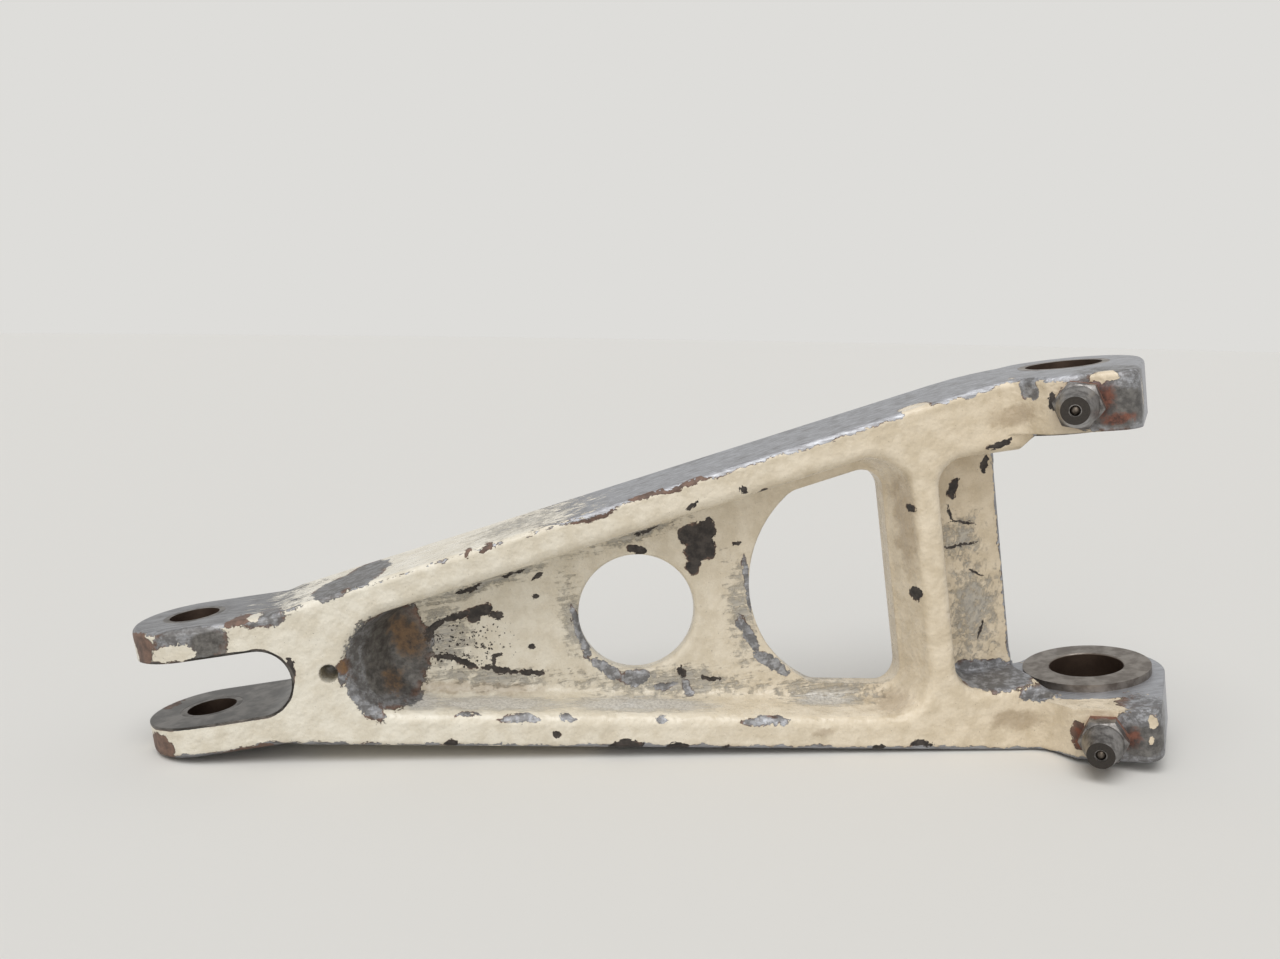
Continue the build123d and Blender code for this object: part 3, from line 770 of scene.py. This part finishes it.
scuff_mask = add(tree, "MapRange", (scuffs, 0.3, 0.7), **SMOOTH)
outer_mask = add(tree, "MapRange", (beyond, -1.5, -0.5), **SMOOTH)
scuffed = add(tree, "Math", (scuff_mask, outer_mask), operation="MULTIPLY")
clouded = add(tree, "MapRange", (cloud, 0.5, 0.75), **SMOOTH)
clouded = add(tree, "Math", (clouded, 0.35), operation="MULTIPLY")
darker = add(tree, "Math", (scuffed, 0.35, clouded), operation="MULTIPLY_ADD")
at_clevis = passing(tree, scuffs, "#A2A3A6", "#88898D", *MID_BAND)
at_lugs = passing(tree, scuffs, "#B7B9BE", "#9FA0A5", *MID_BAND)
clean = passing(tree, u, at_clevis, at_lugs, *STEEL_PALES)
relief = add(tree, "Math", (scuffed, mottle), operation="ADD")
steel = {
    "colour": passing(tree, darker, clean, "#625E5B"),
    "roughness": add(tree, "Math", (mottle, 0.3, 0.38), operation="MULTIPLY_ADD"),
    "metallic": 0.85,
    "height": add(tree, "Math", (relief, 0.03), operation="MULTIPLY"),
}
print("nodes with the steel:", len(tree.nodes))

# %% [markdown]
# ## Dark film, and painted shade
# Grease and dirt dry to a dark film in the pocket's end, round the fittings and on the ears, and
# bare patches are dulled by it in spots. The same layer paints shade over the whole clevis slot,
# and in part right of the lower fitting. It is dull, less metallic than the steel and a little
# higher. Its marks are soft: they fray out with the clouds. The dark chips go over it as old steel.


# %% Dark film, painted shade and chips
def soft_marks(tree, turned, balls, pattern, fray, start, end):
    """Mask that is 1 well inside broad soft marks and frays out with a pattern."""
    reach = (pattern, -fray, marks(tree, turned, balls))
    reach = add(tree, "Math", reach, operation="MULTIPLY_ADD")
    return add(tree, "MapRange", (reach, start, end), **SMOOTH)


FILM_COVER, SPOT_COVER = 0.9, 0.75

film = {
    "colour": passing(tree, mottle, "#45413D", "#76736E", 0.35, 0.7),
    "roughness": 0.5,
    "metallic": 0.5,
    "height": add(tree, "Math", (mottle, 0.16), operation="MULTIPLY"),
}
# dark film, with painted shade in the clevis slot and beside the lower fitting
filmed_and_shaded = soft_marks(tree, turned, dark_films_and_shade, cloud, 0.9, 0.75, 0.3)
in_patch = add(tree, "MapRange", (patches, 0.0, 0.1), **SMOOTH)
in_spots = add(tree, "MapRange", (mottle, 0.64, 0.44), **SMOOTH)
dulled = add(tree, "Math", (in_patch, in_spots), operation="MULTIPLY")
dulled = add(tree, "Math", (dulled, SPOT_COVER), operation="MULTIPLY")
cover = add(tree, "Math", (filmed_and_shaded, dulled), operation="MAXIMUM")
cover = add(tree, "Math", (cover, FILM_COVER), operation="MULTIPLY")
surface = lay_over(tree, steel, film, cover)
in_chip = add(tree, "MapRange", (chips, 0.0, CHIP_RIM), **SMOOTH)
surface = lay_over(tree, surface, old_steel, in_chip)
print("dark films:", len(dark_films_and_shade), "nodes:", len(tree.nodes))

# %% [markdown]
# ## Polished slot, with painted shade
# The faces of the clevis slot are polished by the part that turns in it, and dark partly with old
# grease and partly with painted shade, since the slot lies deep in shade. They are smoother than
# the other bare steel, so their roughness is lower.

# %% Polished slot, with painted shade
# dark colours: old grease, and painted shade in the slot
polished_and_shaded = {
    "colour": passing(tree, cloud, "#3B3835", "#6B6763", 0.4, 0.65),
    "roughness": 0.3,
    "metallic": 0.85,
    "height": add(tree, "Math", (mottle, 0.02), operation="MULTIPLY"),
}
in_slot = add(tree, "MapRange", (slot_wear, 0.0, 0.1), **SMOOTH)
surface = lay_over(tree, surface, polished_and_shaded, in_slot)
print("the slot's roughness is", polished_and_shaded["roughness"])

# %% [markdown]
# ## Primer and rust
# Maroon primer shows as a thin rim where the enamel has torn off before it, and alone in some
# chips. It is matt and under a tenth of a millimetre thick. Rust is matt too and not metallic at
# all. It is browner near the clevis and redder toward the lugs, as in the picture.

# %% Primer and rust
RUST_REDDENS = (60.0, 150.0)
RUST_COVER = 0.8

primer = {
    "colour": passing(tree, mottle, "#52423A", "#7C6254", 0.3, 0.7),
    "roughness": 0.6,
    "metallic": 0.1,
    "height": add(tree, "Math", (grain, 0.06, 0.05), operation="MULTIPLY_ADD"),
}
rim = add(tree, "MapRange", (gone, 0.22, 0.06), **SMOOTH)
here_and_there = add(tree, "MapRange", (cloud, 0.46, 0.58), **SMOOTH)
rim = add(tree, "Math", (rim, here_and_there), operation="MULTIPLY")
in_primed = add(tree, "MapRange", (primed, 0.0, CHIP_RIM), **SMOOTH)
cover = add(tree, "Math", (rim, in_primed), operation="MAXIMUM")
surface = lay_over(tree, surface, primer, cover)

brown = passing(tree, mottle, "#54463A", "#80613F", *MID_BAND)
red = passing(tree, mottle, "#40271F", "#7E4630", *MID_BAND)
rust = {
    "colour": passing(tree, u, brown, red, *RUST_REDDENS),
    "roughness": 0.85,
    "metallic": 0.0,
    "height": add(tree, "Math", (grain, 0.12), operation="MULTIPLY"),
}
rusted = soft_marks(tree, turned, rust_marks, mottle, 1.3, 0.6, -0.1)
cover = add(tree, "Math", (rusted, RUST_COVER), operation="MULTIPLY")
surface = lay_over(tree, surface, rust, cover)
print("nodes so far:", len(tree.nodes))

# %% [markdown]
# ## Cream enamel
# Brushed gloss enamel that has aged: cream, yellower toward the lugs, a soft sheen with dull spots.
# The waves of the forging show through it, 3.5 mm apart, and it has a fine orange peel of its own.
# It is drawn half a millimetre higher than the steel, so that its torn edges catch the light. Real
# coats are a few tenths of a millimetre at most, and wouldn't show.

# %% Enamel
ENAMEL_YELLOWS = (30.0, 200.0)

waves, peel = (
    add(tree, "TexNoise", {"Vector": point, "Scale": 1 / size, "Detail": detail, "Roughness": 0.5})
    for size, detail in ((3.5, 3.0), (1.1, 2.0))
)
waved = add(tree, "Math", (waves, 0.55, 0.2), operation="MULTIPLY_ADD")
cream = passing(tree, cloud, "#E0DACB", "#D3CBB9", *MID_BAND)
yellowed = passing(tree, cloud, "#DDCEB5", "#CDBDA2", *MID_BAND)
enamel = {
    "colour": passing(tree, u, cream, yellowed, *ENAMEL_YELLOWS),
    "roughness": add(tree, "Math", (mottle, 0.3, 0.14), operation="MULTIPLY_ADD"),
    "metallic": 0.0,
    "height": add(tree, "Math", (peel, 0.16, waved), operation="MULTIPLY_ADD"),
}
print("nodes with the enamel:", len(tree.nodes))

# %% [markdown]
# ## Rubbed grey places, and a painted shadow
# Where something rubs, the enamel is thinned until grey shows through it in streaks. Along the legs
# the streaks run lengthwise, 8 mm long. On the web right of the post they are scratches across it.
# The same grey paints the shadow of the upper leg, in a band along its foot on the web. One number
# for each place says how easily it turns grey, and the streaks do the rest.

# %% Streaks, rubbed places and painted shadow
BRUSHED_PER_MM, SCRATCHES_PER_MM = (0.12, 1.6, 1.6), (1.8, 0.16, 1.8)
POST = (135.0, 150.0)
RUBBED_AND_SHADE_COVER = 0.85

streak_space = add(tree, "Mapping", {"Vector": point, "Scale": BRUSHED_PER_MM})
brushed = {"Vector": streak_space, "Scale": 1.0, "Detail": 6.0, "Roughness": 0.7}
brushed = add(tree, "TexNoise", brushed)
scratch_space = add(tree, "Mapping", {"Vector": turned[-30], "Scale": SCRATCHES_PER_MM})
scratched = {"Vector": scratch_space, "Scale": 1.0, "Detail": 5.0, "Roughness": 0.65}
scratched = add(tree, "TexNoise", scratched)
right_of_post = add(tree, "MapRange", (u, *POST), **SMOOTH)
streaks = lay_over(tree, {"value": brushed}, {"value": scratched}, right_of_post)["value"]
half_streaks = add(tree, "Math", (streaks, 0.45), operation="MULTIPLY")
patchy = add(tree, "Math", (mottle, 0.55, half_streaks), operation="MULTIPLY_ADD")
grey = {
    "colour": passing(tree, streaks, "#8B8B8B", "#B5AFA3", *MID_BAND),
    "roughness": 0.45,
    "metallic": 0.3,
    "height": add(tree, "Math", (waves, 0.45, 0.12), operation="MULTIPLY_ADD"),
}
# rubbed places, and the painted shadow along the upper leg
resists = (marks(tree, turned, rubbed_and_shaded), 0.2, 0.4)
resists = add(tree, "Math", resists, operation="MULTIPLY_ADD")
rubbing_and_shadow = add(tree, "Math", (patchy, resists), operation="SUBTRACT")
rubbing_and_shadow = add(tree, "MapRange", (rubbing_and_shadow, -0.08, 0.08), **SMOOTH)
cover = add(tree, "Math", (rubbing_and_shadow, RUBBED_AND_SHADE_COVER), operation="MULTIPLY")
painted = lay_over(tree, enamel, grey, cover)
print("rubbed places:", len(rubbed_and_shaded), "streaks per mm across:", BRUSHED_PER_MM[1])

# %% [markdown]
# ## Burnished bands and stains, with painted highlight and shade
# Along the inner edge of the lower leg the enamel is rubbed bright rather than grey, in a pale band
# with a slight metallic gleam. That wall faces the lamp above, so the pale band is partly a painted
# highlight. Old grease has soaked in elsewhere and left brown stains, which change the colour and
# nothing else; the brown mark on the post's sloping wall is painted shade.

# %% Burnished bands, stains, painted highlight and shade
GLEAM_AND_HIGHLIGHT_COVER, STAIN_AND_SHADE_COVER = 0.75, 0.45

pale = {
    "colour": passing(tree, grain, "#E4E2DD", "#B4B2AE", *MID_BAND),
    "roughness": 0.35,
    "metallic": 0.25,
    "height": add(tree, "Math", (waves, 0.45, 0.1), operation="MULTIPLY_ADD"),
}
# pale burnished bands, partly painted highlight
gleam_and_highlight = soft_marks(tree, turned, burnished_and_highlit, brushed, 1.3, 0.35, -0.2)
cover = add(tree, "Math", (gleam_and_highlight, GLEAM_AND_HIGHLIGHT_COVER), operation="MULTIPLY")
painted = lay_over(tree, painted, pale, cover)

# brown stains, and painted shade on the post's sloping wall
soaked_and_shaded = soft_marks(tree, turned, stained_and_shaded, cloud, 1.4, 0.6, -0.2)
cover = add(tree, "Math", (soaked_and_shaded, STAIN_AND_SHADE_COVER), operation="MULTIPLY")
painted = lay_over(tree, painted, {**painted, "colour": linear("#8F7A5F")}, cover)
print("nodes so far:", len(tree.nodes))

# %% [markdown]
# ## Pits
# Paint and steel are joined by the one mask. Then small round pits are cut, close together left of
# the round hole and rare elsewhere. Cells of 0.7 mm give one possible pit each, and half of the
# cells are chosen by their own random colour.

# %% Pits
PIT_FIELD = [(54.5, -1.0, 0.5, 9.5, 5.5, 3, -10)]
DENSE_PIT, RARE_PIT = 0.42, 0.06
PITS_PER_MM = 1.4

surface = lay_over(tree, painted, surface, bare)
cells = add(tree, "TexVoronoi", {"Vector": torn, "Scale": PITS_PER_MM}).outputs
pit_size = (marks(tree, turned, PIT_FIELD), 0.5, 1.5, DENSE_PIT, RARE_PIT)
pit_size = add(tree, "MapRange", pit_size)
pits = add(tree, "Math", (cells["Distance"], pit_size), operation="LESS_THAN")
lucky = add(tree, "MapRange", (cells["Color"], 0.5, 0.52), **SMOOTH)
pits = add(tree, "Math", (pits, lucky), operation="MULTIPLY")
surface = lay_over(tree, surface, old_steel, pits)
pit_widths = [round(2 * reach / PITS_PER_MM, 2) for reach in (RARE_PIT, DENSE_PIT)]
print("pits are this wide at most, in mm:", pit_widths)

# %% [markdown]
# ## The finished forging
# The stack goes to the shader, and its heights become a bump. A Bevel node rounds the look of every
# edge by 0.6 mm, as blasting and paint do, without a change to the shape.


# %% Shader of the forging
def shade(tree, surface, **bump_inputs):
    """Sends a stack of layers to the shader, with its height in millimetres as a bump."""
    bump = {"Height": surface["height"], "Strength": 1.0, "Distance": 0.001, **bump_inputs}
    inputs = {
        "Base Color": surface["colour"],
        "Roughness": surface["roughness"],
        "Metallic": surface["metallic"],
        "Normal": add(tree, "Bump", bump),
    }
    add(tree, "OutputMaterial", {"Surface": add(tree, "BsdfPrincipled", inputs)})


def dress(name, material):
    """Gives a piece one material."""
    nodes[name].data.materials.clear()
    nodes[name].data.materials.append(material)
    print(name, "wears", material.name)


EDGE_ROUNDING = 0.0006

shade(tree, surface, Normal=add(tree, "Bevel", {"Radius": EDGE_ROUNDING}, samples=4))
dress("knee_forging", forging_finish)
print(forging_finish.name, "has", len(tree.nodes), "nodes")

# %% [markdown]
# ## Turned bushing steel
# The bushings are turned steel sleeves, pressed in and reamed. Turning leaves rings about the
# bore, and handling leaves a brown film with a dark, greasy bore. The rings come from the distance
# to the pin's axis. Real rings are about 0.1 mm apart, too fine to show, so they are drawn 0.35 mm
# apart. They could be cut into the mesh, but at a few thousandths of a millimetre a bump does it.
# The film lies in clouds of 3 mm, and the grease has a grain of a third of a millimetre.

# %% Bushing steel
RING_SPACING = 0.35
FILM_CLOUDS_PER_MM, BORE_GRAINS_PER_MM = 0.35, 3.0


def turned_steel(name, centre_u, bore_radius, fresh, film):
    """Turned steel with rings about a pin, and a dark greasy bore."""
    material, tree = new_tree(name)
    point = point_in(tree, knee_frame)
    u, _, w = add(tree, "SeparateXYZ", (point,)).outputs
    from_pin = add(tree, "Math", (u, centre_u), operation="SUBTRACT")
    radius = add(tree, "CombineXYZ", (from_pin, w, 0.0))
    radius = add(tree, "VectorMath", (radius,), operation="LENGTH")
    rings = add(tree, "Math", (radius, 2 * pi / RING_SPACING), operation="MULTIPLY")
    rings = add(tree, "Math", (rings,), operation="SINE")
    cloud = {"Vector": point, "Scale": FILM_CLOUDS_PER_MM, "Detail": 5.0, "Roughness": 0.6}
    cloud = add(tree, "TexNoise", cloud)
    grain = add(tree, "TexNoise", {"Vector": point, "Scale": BORE_GRAINS_PER_MM, "Detail": 3.0})
    steel = {
        "colour": passing(tree, cloud, fresh, film, 0.38, 0.62),
        "roughness": add(tree, "Math", (cloud, 0.2, 0.28), operation="MULTIPLY_ADD"),
        "metallic": 0.9,
        "height": add(tree, "Math", (rings, 0.004), operation="MULTIPLY"),
    }
    grease = {
        "colour": passing(tree, cloud, "#3A2E27", "#5A4A3F"),
        "roughness": 0.45,
        "metallic": 0.6,
        "height": add(tree, "Math", (grain, 0.03), operation="MULTIPLY"),
    }
    in_bore = (radius, bore_radius + 0.12, bore_radius + 0.04)
    in_bore = add(tree, "MapRange", in_bore, **SMOOTH)
    shade(tree, lay_over(tree, steel, grease, in_bore))
    return material


brown_filmed = turned_steel(
    "turned_steel_with_brown_film", PIN_SPACING, HINGE_BORE_RADIUS, "#8C857E", "#6E665F"
)
worn_dark = turned_steel("turned_steel_worn_dark", 0.0, APEX_BORE_RADIUS, "#77736F", "#4A4541")
for side in ("upper", "lower"):
    dress("hinge_bushing_" + side, brown_filmed)
    dress("ear_bushing_" + side, worn_dark)

# %% [markdown]
# ## A grease fitting's own directions
# Each fitting stands on a slanted facet of its lug. Its finish changes with the height above that
# seat, so its material measures from there, along the fitting. The seat's place follows from the
# slant of the facet and its distance from the hinge pin.

# %% Directions of a fitting
FACET_ANGLE = radians(30)
SEAT_REACH, SEAT_SIDE = 23.3, 5.1
LUG_MIDDLE = (LUG_INNER + LUG_OUTER) / 2


def fitting_frame(height):
    """Mapping settings that measure from a fitting's seat, with z out of the lug."""
    u = PIN_SPACING - sin(FACET_ANGLE) * SEAT_REACH + cos(FACET_ANGLE) * SEAT_SIDE
    w = cos(FACET_ANGLE) * SEAT_REACH + sin(FACET_ANGLE) * SEAT_SIDE
    z_axis = direction(-sin(FACET_ANGLE), 0, cos(FACET_ANGLE))
    return measured_from(place(u, height, w), pins.cross(z_axis), pins, z_axis)


print("fittings sit", round(LUG_MIDDLE, 2), "mm above and below the centre-line")

# %% [markdown]
# ## Steel grease fittings
# A grease fitting is turned from hexagon bar, case hardened and oiled. Its flats are scuffed grey,
# the end of its nose has gone nearly black round the ball, and rust creeps up from the lug. The
# height above the lug, measured along the fitting, tells the material which of them it is on, so
# the piece needn't be cut in three.

# %% Fitting steel
NOSE_HEIGHT, NOSE_RIM = 10.3, 0.08
CREEP_HEIGHT, CREEP_COVER = 4.0, 0.8
OIL_CLOUDS_PER_MM, GRAINS_PER_MM = 0.5, 2.6


def fitting_steel(name, height):
    """Oiled steel of a grease fitting, scuffed on its flats and dark on its nose."""
    material, tree = new_tree(name)
    point = point_in(tree, fitting_frame(height))
    above = add(tree, "SeparateXYZ", (point,)).outputs[2]
    cloud = {"Vector": point, "Scale": OIL_CLOUDS_PER_MM, "Detail": 5.0, "Roughness": 0.62}
    cloud = add(tree, "TexNoise", cloud)
    grain = {"Vector": point, "Scale": GRAINS_PER_MM, "Detail": 4.0, "Roughness": 0.6}
    grain = add(tree, "TexNoise", grain)
    steel = {
        "colour": passing(tree, cloud, "#93908E", "#5C5957", 0.36, 0.66),
        "roughness": add(tree, "Math", (cloud, 0.3, 0.22), operation="MULTIPLY_ADD"),
        "metallic": 0.9,
        "height": add(tree, "Math", (grain, 0.02), operation="MULTIPLY"),
    }
    black = {
        "colour": passing(tree, grain, "#2B2826", "#46413C"),
        "roughness": 0.42,
        "metallic": 0.6,
        "height": add(tree, "Math", (grain, 0.03), operation="MULTIPLY"),
    }
    rust = {
        "colour": passing(tree, grain, "#5B3628", "#8C5535"),
        "roughness": 0.85,
        "metallic": 0.0,
        "height": add(tree, "Math", (grain, 0.1), operation="MULTIPLY"),
    }
    on_nose = add(tree, "MapRange", (above, NOSE_HEIGHT, NOSE_HEIGHT + NOSE_RIM), **SMOOTH)
    creep = add(tree, "Math", (cloud, -CREEP_HEIGHT, above), operation="MULTIPLY_ADD")
    creep = add(tree, "MapRange", (creep, 0.2, -1.2), **SMOOTH)
    creep = add(tree, "Math", (creep, CREEP_COVER), operation="MULTIPLY")
    surface = lay_over(tree, steel, black, on_nose)
    shade(tree, lay_over(tree, surface, rust, creep))
    return material


dress("fitting_body_upper", fitting_steel("oiled_steel_upper_fitting", LUG_MIDDLE))
dress("fitting_body_lower", fitting_steel("oiled_steel_lower_fitting", -LUG_MIDDLE))

# %% [markdown]
# ## Balls and springs
# The check ball is a hard polished ball with a film of old grease, and the spring behind it is
# drawn music wire. Both are tiny, so a fine grain and a cloudy film are all that shows.

# %% Ball and spring steel
BUMP_METRES = 0.00003


def small_steel(name, bright, film, roughness, grain_mm):
    """Polished or drawn steel under a cloudy film."""
    material, tree = new_tree(name)
    point = point_in(tree, knee_frame)
    cloud = add(tree, "TexNoise", {"Vector": point, "Scale": 1 / grain_mm, "Detail": 4.0})
    inputs = {
        "Base Color": passing(tree, cloud, bright, film, 0.4, 0.65),
        "Roughness": roughness,
        "Metallic": 0.95,
        "Normal": add(tree, "Bump", {"Height": cloud, "Strength": 0.3, "Distance": BUMP_METRES}),
    }
    add(tree, "OutputMaterial", {"Surface": add(tree, "BsdfPrincipled", inputs)})
    return material


ball_steel = small_steel("hardened_ball_steel", "#6E665E", "#443D37", 0.4, 0.8)
spring_steel = small_steel("drawn_spring_wire", "#84848A", "#57565A", 0.35, 0.4)
for side in ("upper", "lower"):
    dress("check_ball_" + side, ball_steel)
    dress("check_spring_" + side, spring_steel)

# %% [markdown]
# ## Copies of the springs
# A solid spring can't change its length, so the ball would run into its first coil. A copy of each
# spring's mesh is put in the scene here, with its place baked into it, and the solid spring is
# hidden. Shape keys could shorten a spring, but they would have to be set by hand for each pose.


for side in ("upper", "lower"):
    solid = nodes["check_spring_" + side]
    spring = bpy.data.objects.new("shortening_spring_" + side, solid.data.copy())
    bpy.context.scene.collection.objects.link(spring)
    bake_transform(spring)
    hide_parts("check_spring_" + side)
